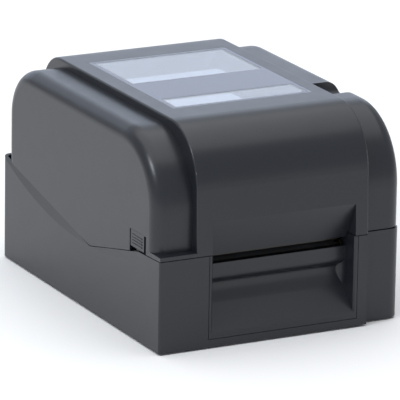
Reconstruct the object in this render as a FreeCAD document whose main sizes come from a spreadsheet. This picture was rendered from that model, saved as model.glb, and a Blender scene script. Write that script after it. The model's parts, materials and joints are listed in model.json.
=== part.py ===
"""Desktop thermal-transfer label printer: a clamshell case with a roll bay, print
mechanism and ribbon drive.  Millimetres, +Z up, front towards -Y, origin on the
table under the middle of the machine."""
import FreeCAD, Part
import math
import os

import Sketcher

Vector = FreeCAD.Vector
Rotation = FreeCAD.Rotation

DIMENSIONS = [
    ("body_width", 204, "overall width of the case"),
    ("body_length", 280, "overall length, hinge housing included"),
    ("body_height", 164, "overall height, feet included"),
    ("foot_drop", 1.5, "how far the feet stand out below the case"),
    ("foot_radius", 7, "rubber foot"),
    ("wall", 2.5, "moulded wall of the case"),
    ("parting_gap", 0.6, "gap between cover and base"),
    ("fit_gap", 0.4, "gap around an inserted piece"),
    ("running_gap", 0.05, "radial clearance of a shaft in its bearing"),
    ("clear_gap", 1.0, "clearance between pieces that pass each other"),
    ("hinge_reach", 10, "hinge housing behind the rear wall"),
    ("rear_step", 8, "cover's rear wall ahead of the base's"),
    ("seam_front_height", 70.8, "parting line at the front"),
    ("seam_knee_setback", 35, "where the parting line starts to fall"),
    ("seam_knee_height", 69.5, "parting line there"),
    ("seam_low_setback", 116, "lowest point of the parting line"),
    ("seam_low_height", 51, "parting line there"),
    ("seam_rear_height", 82, "parting line at the rear wall"),
    ("seam_bend", 14, "radius of the parting line's lowest bend"),
    ("strip_left", 72, "raised centre strip, left of the middle"),
    ("strip_right", 70, "raised centre strip, right of the middle"),
    ("strip_rise", 6, "strip above the shoulders"),
    ("strip_round", 45, "front roll-over of the strip"),
    ("strip_rear_round", 30, "rear roll-over of the strip"),
    ("shoulder_rear_round", 40, "rear roll-over of the shoulders"),
    ("strip_lean", 3, "how far the strip's front leans back"),
    ("shoulder_setback", 8, "shoulders behind the strip's front"),
    ("shoulder_round", 55, "front roll-over of the shoulders"),
    ("edge_round", 10.5, "rounding between top and sides"),
    ("crease_round", 1.5, "rounding of the strip's long edges"),
    ("right_setback", 7, "right front of the base behind the left"),
    ("ledge_rise", 3.5, "rim along the cover's left front"),
    ("slot_half_width", 59.2, "label exit, half width"),
    ("slot_top_height", 67, "top of the label exit"),
    ("slot_low_height", 60, "bottom of the label exit"),
    ("slot_depth", 14, "label exit behind the front"),
    ("recess_top_height", 96.5, "top of the recess over the exit"),
    ("panel_half_width", 61.4, "front panel, half width"),
    ("panel_low_height", 7.5, "front panel, lower edge"),
    ("panel_thickness", 2.5, "front panel wall"),
    ("scoop_low_height", 12.5, "lower edge of the finger scoop"),
    ("scoop_depth", 19, "depth of the finger scoop under the lip"),
    ("scoop_corner", 8, "rounding of the scoop's inner corners"),
    ("scoop_bend", 18, "roundness of the scoop's back"),
    ("lip_low_height", 45.5, "lower edge of the tear lip"),
    ("lip_depth", 5.5, "thickness of the tear lip"),
    ("dish_depth", 1.2, "dish in the base's sides under the rising seam"),
    ("dish_width", 9, "how far down the dish fades out"),
    ("window_front_setback", 69, "top panel, front edge"),
    ("window_length", 142, "top panel, length"),
    ("window_half_width", 58, "top panel, half width"),
    ("window_sheet", 1.2, "top panel, thickness"),
    ("window_rim", 3, "opaque rim around the windows"),
    ("small_window_length", 24, "front window, length"),
    ("band_length", 47, "plain band between the windows"),
    ("deck_height", 48, "top of the inner deck"),
    ("deck_sheet", 2.5, "thickness of the inner deck"),
    ("bay_half_width", 62, "roll bay, half width"),
    ("bay_front_setback", 95, "roll bay, front wall"),
    ("bay_length", 140, "roll bay, length"),
    ("bay_floor_height", 20, "top of the roll bay's floor"),
    ("roll_axis_setback", 165, "label roll's axis"),
    ("roll_axis_height", 92, "label roll's axis"),
    ("platen_setback", 28, "platen's axis"),
    ("platen_height", 55.5, "platen's axis"),
    ("platen_radius", 7, "rubber of the platen"),
    ("platen_core", 4, "steel shaft of the platen"),
    ("platen_journal", 3, "shaft end in the bearing"),
    ("print_half_width", 54, "platen rubber, half length"),
    ("cheek_offset", 61, "inner face of the mechanism's side cheeks"),
    ("cheek_sheet", 3, "side cheek thickness"),
    ("gear_module", 1, "tooth size of the print drive"),
    ("gear_face", 5, "width of the gears"),
    ("bushing_wall", 2, "platen bushing"),
    ("axle_radius", 2.5, "idler axles and motor shaft"),
    ("motor_size", 35, "stepper motor, square"),
    ("motor_length", 34, "stepper motor, length"),
    ("board_height", 7.5, "underside of the main board"),
    ("board_sheet", 1.6, "circuit board thickness"),
    ("holder_thickness", 4, "roll holder arm"),
    ("holder_boss", 12.2, "roll holder's core boss, radius"),
    ("hinge_axis_height", 82, "cover hinge axis"),
    ("hinge_pin", 2.5, "hinge pin radius"),
    ("hinge_knuckle", 6, "hinge knuckle radius"),
    ("tab_length", 22, "release tab, along the side"),
    ("tab_setback", 27, "release tab, front edge"),
    ("tab_low_height", 71, "release tab, lower edge"),
    ("tab_height", 12.5, "release tab"),
    ("tab_sheet", 2.5, "thickness of a release tab and of its arm"),
    ("tab_travel", 3.5, "how far a release tab slides forward"),
    ("hook_height", 60, "top of a release tab's hook"),
    ("hook_rise", 4, "hook, from its lower face to its top"),
    ("button_setback", 88, "feed button's middle"),
    ("button_offset", 84, "feed button's middle, right of centre"),
    ("button_radius", 7.5, "feed button"),
    ("spindle_radius", 6, "ribbon spindle"),
    ("ribbon_plate_offset", 66, "inner face of the ribbon side plates"),
    ("rewind_setback", 48, "ribbon rewind axis"),
    ("rewind_height", 128, "ribbon rewind axis"),
    ("supply_setback", 76, "ribbon supply axis"),
    ("supply_height", 92, "ribbon supply axis"),
    ("ribbon_sheet", 1.5, "ribbon side plate thickness"),
    ("ribbon_plate_low_height", 76, "lower edge of the ribbon side plates"),
    ("ribbon_bridge_height", 96, "underside of the bridge between the plates"),
    ("ribbon_journal", 3, "spindle ends in the side plates"),
    ("fan_slot_half_width", 57, "rear entry for fan-fold labels, half width"),
    ("fan_slot_height", 9, "rear entry for fan-fold labels"),
    ("port_gap", 0.3, "gap around a socket in the rear wall"),
    ("knuckle_inner_offset", 58, "cover's hinge knuckles, inner end"),
    ("knuckle_outer_offset", 70, "cover's hinge knuckles, outer end"),
    ("knuckle_width", 12, "width of a hinge knuckle"),
    ("screw_radius", 1.5, "case screw shank"),
    ("screw_head", 2.8, "case screw head radius"),
]


class Size:
    """A length that keeps both its present value and the sheet expression behind it."""

    def __init__(self, value, text):
        self.value = value
        self.text = text

    def __add__(self, other):
        other = size(other)
        return Size(self.value + other.value, f"({self.text} + {other.text})")

    def __sub__(self, other):
        other = size(other)
        return Size(self.value - other.value, f"({self.text} - {other.text})")

    def __mul__(self, other):
        other = size(other)
        return Size(self.value * other.value, f"({self.text} * {other.text})")

    def __truediv__(self, other):
        other = size(other)
        return Size(self.value / other.value, f"({self.text} / {other.text})")

    def __neg__(self):
        return Size(-self.value, f"(-1 * {self.text})")

    def __radd__(self, other):
        return size(other) + self

    def __rsub__(self, other):
        return size(other) - self

    def __rmul__(self, other):
        return size(other) * self


def size(number):
    """A plain number as a Size; a Size stays as it is."""
    if isinstance(number, Size):
        return number
    return Size(float(number), f"({float(number)!r})")


doc = FreeCAD.newDocument("LabelPrinter")
sheet = doc.addObject("Spreadsheet::Sheet", "dims")
for row, (alias, number, note) in enumerate(DIMENSIONS, start=1):
    sheet.set(f"A{row}", alias)
    sheet.set(f"B{row}", str(number))
    sheet.set(f"C{row}", note)
    sheet.setAlias(f"B{row}", alias)
doc.recompute()


class Dims:
    """Looks a driving dimension up in the sheet by its alias."""

    def __getattr__(self, alias):
        return Size(float(sheet.get(alias)), f"dims.{alias}")


d = Dims()
nodes = []


# ---------------------------------------------------------------- building blocks

def bind(obj, prop, amount):
    """Drive one property from the sheet."""
    obj.setExpression(prop, size(amount).text)


def bind_base(obj, spot, prop="Placement"):
    """Drive the three coordinates of a placement from the sheet."""
    for axis, amount in zip("xyz", spot):
        bind(obj, f"{prop}.Base.{axis}", amount)


def add(kind, name):
    return doc.addObject(kind, name)


def node(label, obj):
    """Name a finished piece; its file takes the same name."""
    obj.Label = label
    nodes.append(obj)
    return obj


def block(name, x, y, z):
    """A box between two values on each axis."""
    box = add("Part::Box", name)
    for prop, (low, high) in (("Length", x), ("Width", y), ("Height", z)):
        bind(box, prop, size(high) - low)
    bind_base(box, (x[0], y[0], z[0]))
    return box


TURNS = {
    "x": Rotation(Vector(0, 1, 0), 90),
    "y": Rotation(Vector(1, 0, 0), -90),
    "z": Rotation(),
}


def spot_on(axis, along, across):
    """A point from its place along an axis and its other two coordinates in order."""
    first, second = across
    return {"x": (along, first, second),
            "y": (first, along, second),
            "z": (first, second, along)}[axis]


def rod(name, axis, span, across, radius):
    """A cylinder along an axis."""
    cylinder = add("Part::Cylinder", name)
    bind(cylinder, "Radius", radius)
    bind(cylinder, "Height", size(span[1]) - span[0])
    cylinder.Placement = FreeCAD.Placement(Vector(), TURNS[axis])
    bind_base(cylinder, spot_on(axis, span[0], across))
    return cylinder


def joined(name, *pieces):
    """Pieces that grow together into one solid."""
    fusion = add("Part::MultiFuse", name)
    fusion.Shapes = list(pieces)
    return fusion


def carved(name, base, *tools):
    """A piece with tools cut out of it."""
    cut = add("Part::Cut", name)
    cut.Base = base
    cut.Tool = tools[0] if len(tools) == 1 else joined(f"{name}_tools", *tools)
    return cut


def shared(name, first, second):
    """What two pieces have in common."""
    common = add("Part::Common", name)
    common.Base = first
    common.Tool = second
    return common


def group(name, *pieces):
    """Separate solids kept in one node."""
    compound = add("Part::Compound", name)
    compound.Links = list(pieces)
    return compound


def tube(name, axis, span, across, outer, inner):
    """A ring or sleeve along an axis."""
    return carved(name, rod(f"{name}_outside", axis, span, across, outer),
                  rod(f"{name}_bore", axis, span, across, inner))


FRAMES = {
    "x": Rotation(Vector(0, 1, 0), Vector(0, 0, 1), Vector(1, 0, 0), "XYZ"),
    "y": Rotation(Vector(1, 0, 0), Vector(0, 0, 1), Vector(0, -1, 0), "XYZ"),
    "z": Rotation(),
}


def rounded_corner(before, corner, after, radius):
    """Where the arc that rounds a corner starts and ends, its centre, and its turn."""
    before, spot, after = (Vector(point[0].value, point[1].value, 0)
                           for point in (before, corner, after))
    to_before = (before - spot).normalize()
    to_after = (after - spot).normalize()
    half = to_before.getAngle(to_after) / 2
    reach = radius / math.tan(half)
    centre = spot + (to_before + to_after).normalize() * (radius / math.sin(half))
    turns_left = (spot - before).cross(after - spot).z > 0
    return spot + to_before * reach, centre, spot + to_after * reach, turns_left


def heading(centre, point):
    """Angle of a point as seen from a centre."""
    return math.atan2(point.y - centre.y, point.x - centre.x)


def outline(sketch, corners):
    """Draw a closed outline whose corners, and the radii that round them, are bound.

    Each corner is (first, second) or (first, second, radius)."""
    corners = [tuple(size(part) for part in corner) for corner in corners]
    count = len(corners)
    arcs = {}
    for index, corner in enumerate(corners):
        if len(corner) == 3:
            arcs[index] = rounded_corner(corners[index - 1], corner,
                                         corners[(index + 1) % count], corner[2].value)
    sides = []
    for index in range(count):
        following = (index + 1) % count
        start = arcs[index][2] if index in arcs else Vector(
            corners[index][0].value, corners[index][1].value, 0)
        end = arcs[following][0] if following in arcs else Vector(
            corners[following][0].value, corners[following][1].value, 0)
        sides.append(sketch.addGeometry(Part.LineSegment(start, end), False))
    for index, corner in enumerate(corners):
        line_in, line_out = sides[index - 1], sides[index]
        if index in arcs:
            pin_target = add_round(sketch, line_in, line_out, arcs[index], corner)
        else:
            sketch.addConstraint(Sketcher.Constraint("Coincident", line_in, 2, line_out, 1))
            pin_target = (line_out, 1)
        for kind, amount in (("DistanceX", corner[0]), ("DistanceY", corner[1])):
            pin = sketch.addConstraint(
                Sketcher.Constraint(kind, -1, 1, *pin_target, amount.value))
            sketch.setExpression(f"Constraints[{pin}]", amount.text)


def add_round(sketch, line_in, line_out, arc_places, corner):
    """Round one corner; returns the construction point that marks the sharp corner."""
    start, centre, end, turns_left = arc_places
    first, last = (start, end) if turns_left else (end, start)
    first_angle, last_angle = heading(centre, first), heading(centre, last)
    if last_angle < first_angle:
        last_angle += 2 * math.pi
    circle = Part.Circle(centre, Vector(0, 0, 1), corner[2].value)
    arc = sketch.addGeometry(Part.ArcOfCircle(circle, first_angle, last_angle), False)
    near, far = (1, 2) if turns_left else (2, 1)
    sketch.addConstraint(Sketcher.Constraint("Tangent", line_in, 2, arc, near))
    sketch.addConstraint(Sketcher.Constraint("Tangent", arc, far, line_out, 1))
    bend = sketch.addConstraint(Sketcher.Constraint("Radius", arc, corner[2].value))
    sketch.setExpression(f"Constraints[{bend}]", corner[2].text)
    mark = sketch.addGeometry(
        Part.Point(Vector(corner[0].value, corner[1].value, 0)), True)
    sketch.addConstraint(Sketcher.Constraint("PointOnObject", mark, 1, line_in))
    sketch.addConstraint(Sketcher.Constraint("PointOnObject", mark, 1, line_out))
    return mark, 1


def slab(name, axis, span, corners):
    """An outline drawn across an axis and extruded along it between two values."""
    sketch = add("Sketcher::SketchObject", f"{name}_outline")
    sketch.Placement = FreeCAD.Placement(Vector(), FRAMES[axis])
    low, high = size(span[0]), size(span[1])
    start = high if axis == "y" else low
    bind_base(sketch, spot_on(axis, start, (0, 0)))
    outline(sketch, corners)
    solid = add("Part::Extrusion", name)
    solid.Base = sketch
    solid.DirMode = "Normal"
    solid.Solid = True
    bind(solid, "LengthFwd", high - low)
    return solid


def body_sketch(body, role, name, offset, corners):
    """A bound outline on one of a body's own origin planes, moved along its normal."""
    plane = next(p for p in body.Origin.OriginFeatures if p.Role == role)
    sketch = body.newObject("Sketcher::SketchObject", name)
    sketch.AttachmentSupport = (plane, [""])
    sketch.MapMode = "FlatFace"
    bind(sketch, "AttachmentOffset.Base.z", offset)
    outline(sketch, corners)
    return sketch


def padded(body, role, name, offset, length, corners):
    """A pad from an origin plane of the body."""
    pad = body.newObject("PartDesign::Pad", name)
    pad.Profile = body_sketch(body, role, f"{name}_sketch", offset, corners)
    bind(pad, "Length", length)
    return pad


def rounded(body, base, name, radius, wanted):
    """A fillet on the edges of a feature that a test picks."""
    doc.recompute()
    edges = [f"Edge{index}" for index, edge in enumerate(base.Shape.Edges, start=1)
             if wanted(edge)]
    fillet = body.newObject("PartDesign::Fillet", name)
    fillet.Base = (base, edges)
    bind(fillet, "Radius", radius)
    return fillet


def lies_at_x(edge, *places):
    """True when both ends and the middle of an edge lie at one of these x values."""
    box = edge.BoundBox
    return any(abs(box.XMin - x) < 1e-4 and abs(box.XMax - x) < 1e-4 for x in places)


# ---------------------------------------------------------------- main places

left = -d.body_width / 2
right = d.body_width / 2
front = -d.body_length / 2
back = front + d.body_length - d.hinge_reach
cover_back = back - d.rear_step
base_low = d.foot_drop
floor_top = base_low + d.wall
top = d.body_height
shoulder_top = top - d.strip_rise
deck_low = d.deck_height - d.deck_sheet
cut_low = d.seam_low_height - 12
knee_y = front + d.seam_knee_setback
low_y = front + d.seam_low_setback
slot_y = front + d.slot_depth
hinge_y = front + d.body_length - d.hinge_knuckle
platen_y = front + d.platen_setback
roll_y = front + d.roll_axis_setback
bay_front = front + d.bay_front_setback
bay_back = bay_front + d.bay_length
bay_low = d.bay_floor_height - d.deck_sheet
rewind_y = front + d.rewind_setback
supply_y = front + d.supply_setback
window_front = front + d.window_front_setback
window_back = window_front + d.window_length
board_top = d.board_height + d.board_sheet
panel_back = front + d.scoop_depth + d.panel_thickness
exit_half = d.slot_half_width - 0.6
scoop_knee = d.lip_low_height - 11
knuckle_gap = 0.5
pin_end = d.knuckle_outer_offset + d.knuckle_width
margin = 20
sides = (("left", -1), ("right", 1))


def seam_points(lift):
    """The parting line between cover and base, seen from the side."""
    return [(front, d.seam_front_height + lift),
            (knee_y, d.seam_knee_height + lift),
            (low_y, d.seam_low_height + lift, d.seam_bend),
            (back, d.seam_rear_height + lift)]


def side_of_seam(name, lift, limit):
    """Everything between the parting line and a far level above or below it."""
    line = seam_points(lift)
    corners = ([(front - margin, limit), (front - margin, d.seam_front_height + lift)]
               + line + [(back + margin, d.seam_rear_height + lift),
                         (back + margin, limit)])
    return slab(name, "x", (left - margin, right + margin), corners)


# ---------------------------------------------------------------- cover shell

def shoulder_body(name, inset):
    """The low, full-width part of the cover as a rounded block."""
    body = add("PartDesign::Body", name)
    pad = padded(body, "YZ_Plane", f"{name}_pad", left + inset,
                 d.body_width - 2 * size(inset), [
                     (front + d.shoulder_setback + inset, cut_low),
                     (front + d.shoulder_setback + inset, shoulder_top - inset,
                      d.shoulder_round - inset),
                     (cover_back - inset, shoulder_top - inset,
                      d.shoulder_rear_round - inset),
                     (cover_back - inset, cut_low)])
    ends = ((left + inset).value, (right - inset).value)
    rounded(body, pad, f"{name}_round", d.edge_round - inset,
            lambda edge: lies_at_x(edge, *ends)
            and edge.BoundBox.ZMax > cut_low.value + 1)
    return body


def strip_body(name, inset):
    """The raised centre strip of the cover as a block; only the outside is eased."""
    body = add("PartDesign::Body", name)
    pad = padded(body, "YZ_Plane", f"{name}_pad", inset - d.strip_left,
                 d.strip_left + d.strip_right - 2 * size(inset), [
                     (front + inset, cut_low),
                     (front + inset, d.seam_front_height),
                     (front + inset + d.strip_lean, top - inset, d.strip_round - inset),
                     (cover_back - inset, top - inset, d.strip_rear_round - inset),
                     (cover_back - inset, cut_low)])
    if size(inset).value == 0:
        ends = (-d.strip_left.value, d.strip_right.value)
        rounded(body, pad, f"{name}_round", d.crease_round,
                lambda edge: lies_at_x(edge, *ends)
                and edge.BoundBox.ZMax > cut_low.value + 1)
    return body


def recess_wedge(name, grow):
    """The sloping recess over the label exit; grow makes the wall behind it."""
    half = d.slot_half_width + grow
    return slab(name, "x", (-half, half), [
        (front - margin, d.recess_top_height + grow),
        (front + 0.5, d.recess_top_height + grow),
        (slot_y + grow, d.slot_top_height),
        (slot_y + grow, cut_low),
        (front - margin, cut_low)])


tray_front = front + 78
tray_back = tray_front + 31
tray_floor = shoulder_top - 10


control_spots = [(x, front + d.button_setback + 5 + y) for x in (77, 95) for y in (-11, 11)]


def control_slab(name, grow, x_low, x_high):
    """The scooped tray for the feed button, open to the right."""
    return slab(name, "x", (x_low, x_high), [
        (tray_front - grow - 3, top + margin),
        (tray_front - grow, tray_floor - grow, 5 + size(grow)),
        (tray_back + grow, tray_floor - grow, 7 + size(grow)),
        (tray_back + grow + 1, top + margin)])


def window_spans():
    """The two windows' spans along Y: the front one and the rear one."""
    first = window_front + d.window_rim
    second = first + d.small_window_length + d.band_length
    return ((first, first + d.small_window_length),
            (second, window_back - d.window_rim))


def side_x(side, inset):
    """A place measured inwards from the left (-1) or right (1) side."""
    return (size(inset) - d.body_width / 2) if side < 0 else (d.body_width / 2 - inset)


def ordered(first, second):
    """Two values with the lower one first."""
    return (first, second) if size(first).value < size(second).value else (second, first)


def inward(side, near, far):
    """A span along X between two insets from one side."""
    return ordered(side_x(side, near), side_x(side, far))


def mirrored(side, near, far):
    """A span along X on one side of the middle."""
    return ordered(size(near) * side, size(far) * side)


tab_front = front + d.tab_setback
tab_back = tab_front + d.tab_length


def build_cover_shell():
    """The clamshell cover with its exit recess, windows, control tray and tab slots."""
    hood = joined("hood", shoulder_body("hood_shoulders", 0), strip_body("hood_strip", 0))
    ledge = block("hood_ledge", (left, -d.strip_left + 1),
                  (front, front + d.shoulder_setback + d.edge_round),
                  (cut_low, d.seam_front_height + d.ledge_rise))
    cavity = joined("hood_cavity", shoulder_body("cavity_shoulders", d.wall),
                    strip_body("cavity_strip", d.wall))
    ledge_cavity = block("ledge_cavity", (left + d.wall, -d.strip_left + 1),
                         (front + d.wall, front + d.shoulder_setback + d.edge_round + 1),
                         (cut_low, d.seam_front_height + d.ledge_rise - d.wall))
    shell = carved("hood_shell", joined("hood_outside", hood, ledge), cavity, ledge_cavity)
    chin = shared("hood_chin", hood, recess_wedge("chin_block", d.wall))
    tray = shared("hood_tray", hood, control_slab(
        "tray_block", d.wall, d.strip_right + 2, right + margin))
    arms = [block(f"hinge_arm_{name}",
                  mirrored(side, d.knuckle_inner_offset, d.knuckle_outer_offset),
                  (cover_back - d.wall, hinge_y),
                  (d.hinge_axis_height + d.parting_gap + 1,
                   d.hinge_axis_height + d.hinge_knuckle))
            for name, side in sides]
    knuckles = [rod(f"cover_knuckle_{name}", "x",
                    mirrored(side, d.knuckle_inner_offset, d.knuckle_outer_offset),
                    (hinge_y, d.hinge_axis_height), d.hinge_knuckle)
                for name, side in sides]
    arms += [rod(f"control_post_{index}", "z", (tray_floor - d.wall - 7.4,
                                                 tray_floor - 1), spot, 1.5)
             for index, spot in enumerate(control_spots)]
    cuts = [recess_wedge("exit_recess", 0),
            control_slab("control_tray_cut", 0, d.strip_right + 4, right + margin),
            block("panel_pocket", (-d.window_half_width - d.fit_gap / 2,
                                   d.window_half_width + d.fit_gap / 2),
                  (window_front - d.fit_gap / 2, window_back + d.fit_gap / 2),
                  (top - d.window_sheet, top + margin)),
            rod("button_hole", "z", (tray_floor - margin, top),
                (d.button_offset, front + d.button_setback + 5),
                d.button_radius + d.fit_gap),
            rod("lens_hole", "z", (tray_floor - margin, top),
                (d.button_offset + 12, front + d.button_setback + 5), 1.7),
            rod("hinge_bore", "x", (left, right), (hinge_y, d.hinge_axis_height),
                d.hinge_pin + d.running_gap)]
    for index, (low, high) in enumerate(window_spans()):
        cuts.append(block(f"window_hole_{index}",
                          (-d.window_half_width + d.window_rim + 2,
                           d.window_half_width - d.window_rim - 2),
                          (low + 2, high - 2), (top - margin, top + margin)))
    for name, side in sides:
        cuts.append(block(f"tab_hole_{name}", inward(side, -margin, d.wall + 1),
                          (tab_front - d.tab_travel - d.fit_gap, tab_back + d.fit_gap),
                          (cut_low, d.tab_low_height + d.tab_height + d.fit_gap)))
    trimmed = carved("hood_trimmed", joined("hood_solid", shell, chin, tray),
                     side_of_seam("below_cover", d.parting_gap, size(-margin)))
    full = joined("hood_full", trimmed, exit_lip(), *arms, *knuckles)
    node("cover_shell", carved("cover_shell", full, *cuts))


def exit_lip():
    """The stretch of the sloping recess wall that hangs below the parting line."""
    half = d.slot_half_width - d.clear_gap
    rise = d.recess_top_height - d.slot_top_height
    run = d.slot_depth - 0.5
    high = d.seam_front_height + 3
    high_y = front + 0.5 + run * ((d.recess_top_height.value - high.value) / rise.value)
    return slab("exit_lip", "x", (-half, half), [
        (high_y, high), (slot_y, d.slot_top_height),
        (slot_y + d.wall, d.slot_top_height), (high_y + d.wall + 2, high)])


# ---------------------------------------------------------------- base housing

ports = {
    "power_jack": ((-82, -68), (board_top, 22)),
    "usb_port": ((-56, -44), (board_top, 20.5)),
    "usb_host_port": ((-34, -20), (board_top, 16.5)),
    "network_port": ((-8, 8), (board_top, 23)),
    "serial_port": ((20, 51), (board_top, 22)),
    "power_switch": ((68, 88), (20, 33)),
}


def plan_outline(inset):
    """The base in plan: the right end of its front stands back."""
    return [(left + inset, front + inset, 2),
            (d.strip_right - inset, front + inset),
            (d.strip_right - inset, front + d.right_setback + inset),
            (right - inset, front + d.right_setback + inset, 9 - size(inset)),
            (right - inset, back - inset, 6 - size(inset)),
            (left + inset, back - inset, 6 - size(inset))]


def base_block(name, inset, low):
    """The base's plan padded up past the parting line."""
    body = add("PartDesign::Body", name)
    padded(body, "XY_Plane", f"{name}_pad", low, d.seam_rear_height + margin - low,
           plan_outline(inset))
    return body


def side_dish(name, side):
    """A long shallow hollow in one side, deepest under the middle of the rising seam."""
    run = (back - low_y).value
    rise = (d.seam_rear_height - d.seam_low_height).value
    depth, width = d.dish_depth.value, d.dish_width.value
    chord = math.hypot(run, rise)
    radius = chord ** 2 / (8 * depth)
    outward = Vector(side, 0, 0)
    across = Vector(0, -rise, run).normalize()
    axis = (across * width - outward * depth).normalize()
    away = (outward * width + across * depth).normalize()
    middle = Vector(side * d.body_width.value / 2, (low_y + back).value / 2,
                    (d.seam_low_height + d.seam_rear_height).value / 2)
    centre = middle - outward * depth + away * radius
    tool = add("Part::Cylinder", name)
    tool.Radius = radius
    tool.Height = 2 * margin
    tool.Placement = FreeCAD.Placement(centre - axis * margin,
                                       Rotation(Vector(0, 0, 1), axis))
    return tool


def build_base_housing():
    """The lower case: floor, walls, rear knuckles, board posts and openings."""
    shell = carved("base_walls", base_block("base_outside", 0, base_low),
                   base_block("base_cavity", d.wall, floor_top),
                   side_of_seam("above_base", 0, top + margin))
    knuckles = [rod(f"base_knuckle_{name}", "x",
                    mirrored(side, d.knuckle_outer_offset + knuckle_gap, pin_end),
                    (hinge_y, d.hinge_axis_height), d.hinge_knuckle)
                for name, side in sides]
    posts = [rod(f"board_post_{index}", "z", (base_low + 1, d.board_height), spot, 3)
             for index, spot in enumerate(board_spots)]
    shelf = block("rear_shelf", (left + 6, right - 6), (cover_back - 8, back - 1),
                  (d.seam_rear_height - d.rear_step * 0.3 - d.wall,
                   d.seam_rear_height - d.rear_step * 0.3))
    cuts = [block("panel_opening",
                  (-d.panel_half_width - d.fit_gap, d.panel_half_width + d.fit_gap),
                  (front - margin, front + d.wall + 1),
                  (d.panel_low_height - d.fit_gap, top)),
            block("fan_slot", (-d.fan_slot_half_width, d.fan_slot_half_width),
                  (back - d.wall - 1, back + 1),
                  (d.deck_height + 3, d.deck_height + 3 + d.fan_slot_height)),
            rod("base_hinge_bore", "x", (left, right), (hinge_y, d.hinge_axis_height),
                d.hinge_pin + d.running_gap)]
    cuts += [block(f"{name}_hole", (across[0] - d.port_gap, across[1] + d.port_gap),
                   (back - d.wall - 1, back + 1),
                   (up[0] - d.port_gap, up[1] + d.port_gap))
             for name, (across, up) in ports.items()]
    cuts += [side_dish(f"side_dish_{name}", side) for name, side in sides]
    cuts += [block(f"knuckle_notch_{name}",
                   mirrored(side, d.knuckle_inner_offset - d.parting_gap,
                            d.knuckle_outer_offset + knuckle_gap),
                   (back - d.wall - 1, back + margin),
                   (d.hinge_axis_height - d.hinge_knuckle - 1, top))
             for name, side in sides]
    cuts += [rod(f"case_screw_hole_{index}", "z", (0, floor_top + 1), spot,
                 d.screw_radius + 0.2) for index, spot in enumerate(case_screw_spots)]
    cuts += [rod(f"case_screw_sink_{index}", "z", (0, base_low + 1.2), spot,
                 d.screw_head + 0.3) for index, spot in enumerate(case_screw_spots)]
    node("base_housing", carved("base_housing", joined("base_solid", shell, shelf,
                                                       *knuckles, *posts), *cuts))
    node("rubber_feet", group("rubber_feet", *[
        rod(f"foot_{index}", "z", (0, base_low), spot, d.foot_radius)
        for index, spot in enumerate(foot_spots)]))
    node("case_screws", group("case_screws", *[
        joined(f"case_screw_{index}",
               rod(f"case_screw_shank_{index}", "z", (base_low, floor_top + 6), spot,
                   d.screw_radius),
               rod(f"case_screw_head_{index}", "z", (base_low, base_low + 1.2), spot,
                   d.screw_head))
        for index, spot in enumerate(case_screw_spots)]))
    node("hinge_pins", group("hinge_pins", *[
        rod(f"hinge_pin_{name}", "x", mirrored(side, d.knuckle_inner_offset, pin_end),
            (hinge_y, d.hinge_axis_height), d.hinge_pin)
        for name, side in sides]))


board_spots = [(x, y) for x in (-81, 55) for y in (front + 115, front + 255)]
case_screw_spots = [(x, y) for x in (left + 10, right - 10)
                    for y in (front + 36, back - 36)]
foot_spots = [(x, y) for x in (left + 16, right - 16) for y in (front + 20, back - 16)]


def scoop_cavity():
    """The finger scoop: rounded in plan, hollowed under the tear lip."""
    scoop_back = front + d.scoop_depth
    over = d.seam_front_height + 1
    plan = slab("scoop_plan", "z", (base_low, over), [
        (-exit_half - 1.2, front - 0.2), (exit_half + 1.2, front - 0.2),
        (exit_half, front + 1.2), (exit_half, scoop_back + 0.5, d.scoop_corner),
        (-exit_half, scoop_back + 0.5, d.scoop_corner), (-exit_half, front + 1.2)])
    profile = slab("scoop_profile", "x", (-d.panel_half_width, d.panel_half_width), [
        (front - 1, d.scoop_low_height - 1.5),
        (scoop_back, scoop_knee, d.scoop_bend),
        (scoop_back, d.lip_low_height - 1, 4),
        (slot_y, d.lip_low_height + 3, 6),
        (slot_y, over), (front - 1, over)])
    return shared("scoop", plan, profile)


def build_front_panel():
    """The front insert with its tear lip and finger scoop."""
    half = d.panel_half_width
    lip_back = slot_y + d.lip_depth
    blank = slab("panel_blank", "x", (-half, half), [
        (front, d.panel_low_height), (front, d.seam_front_height),
        (lip_back, d.seam_front_height), (lip_back, d.lip_low_height + 3),
        (panel_back, d.lip_low_height + 2), (panel_back, scoop_knee - 1),
        (front + d.panel_thickness + 1, d.panel_low_height)])
    exit_cut = block("panel_exit_cut", (-exit_half, exit_half),
                     (front - 1, lip_back + 1), (d.slot_low_height, top))
    bar_half = exit_half - 3
    bar_front = slot_y + 2
    bar_low = d.slot_low_height - 1
    rebate = block("tear_rebate", (-bar_half - d.fit_gap / 2, bar_half + d.fit_gap / 2),
                   (bar_front, lip_back + 1), (bar_low, top))
    node("front_panel", carved("front_panel", blank, scoop_cavity(), exit_cut, rebate))
    node("tear_bar", block("tear_bar", (-bar_half, bar_half), (bar_front, lip_back),
                           (bar_low, d.slot_low_height)))


# ---------------------------------------------------------------- inner frame

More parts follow.
